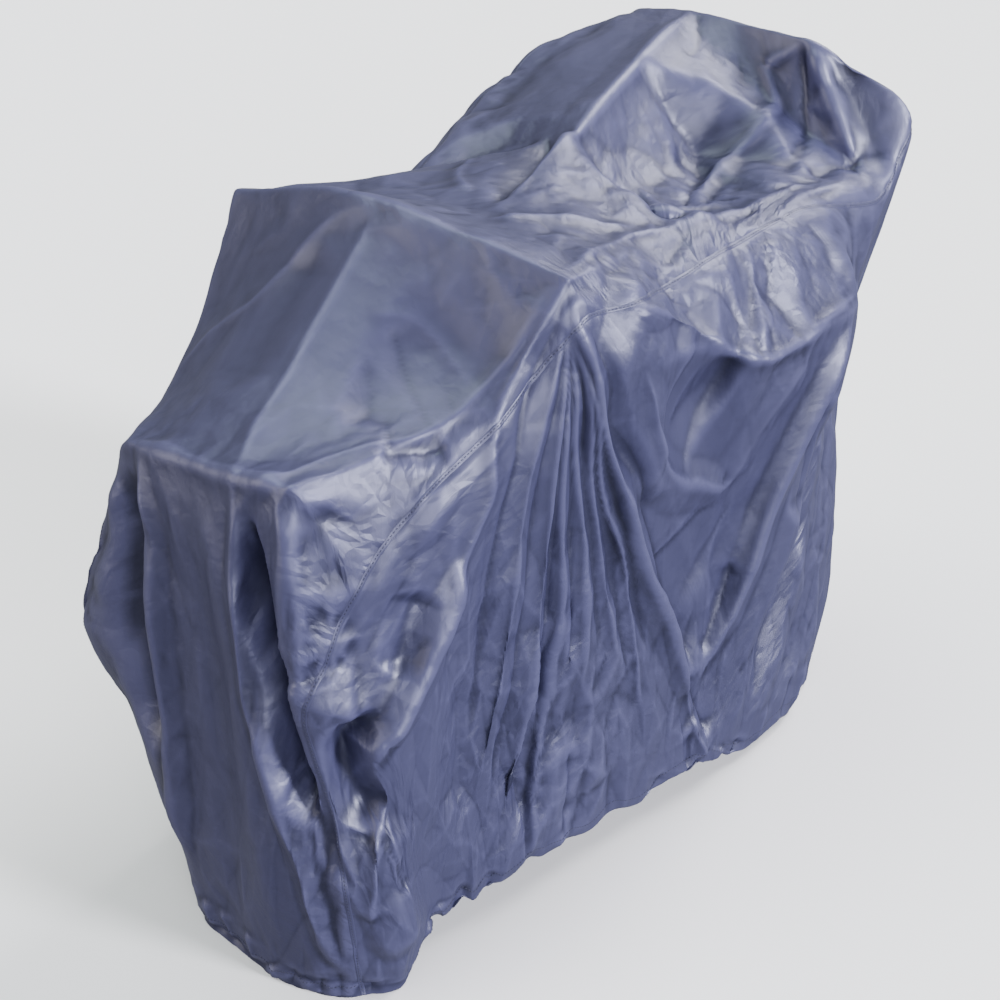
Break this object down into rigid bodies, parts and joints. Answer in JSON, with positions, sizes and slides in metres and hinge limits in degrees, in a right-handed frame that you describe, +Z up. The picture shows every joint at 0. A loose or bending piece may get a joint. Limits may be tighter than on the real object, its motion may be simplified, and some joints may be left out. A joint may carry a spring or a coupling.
{
  "type": "mobility scooter cover",
  "caption": "Fitted rain cover of satin slate-blue nylon, draped and hollow, with a bar peak, a sagging saddle, a raised seat hood, fanned side folds and a gathered hem.",
  "frame": {"origin": "middle of the cover's length and width, at the lowest point of the hem", "axes": "+X to the cover's left, +Y to its rear, +Z up"},
  "size_m": [0.6898, 1.2372, 1.0066],
  "materials": {
    "coated_nylon": "satin"
  },
  "bodies": {
    "root": {"centre_panel": "coated_nylon", "left_side_panel": "coated_nylon", "right_side_panel": "coated_nylon"}
  },
  "joints": []
}
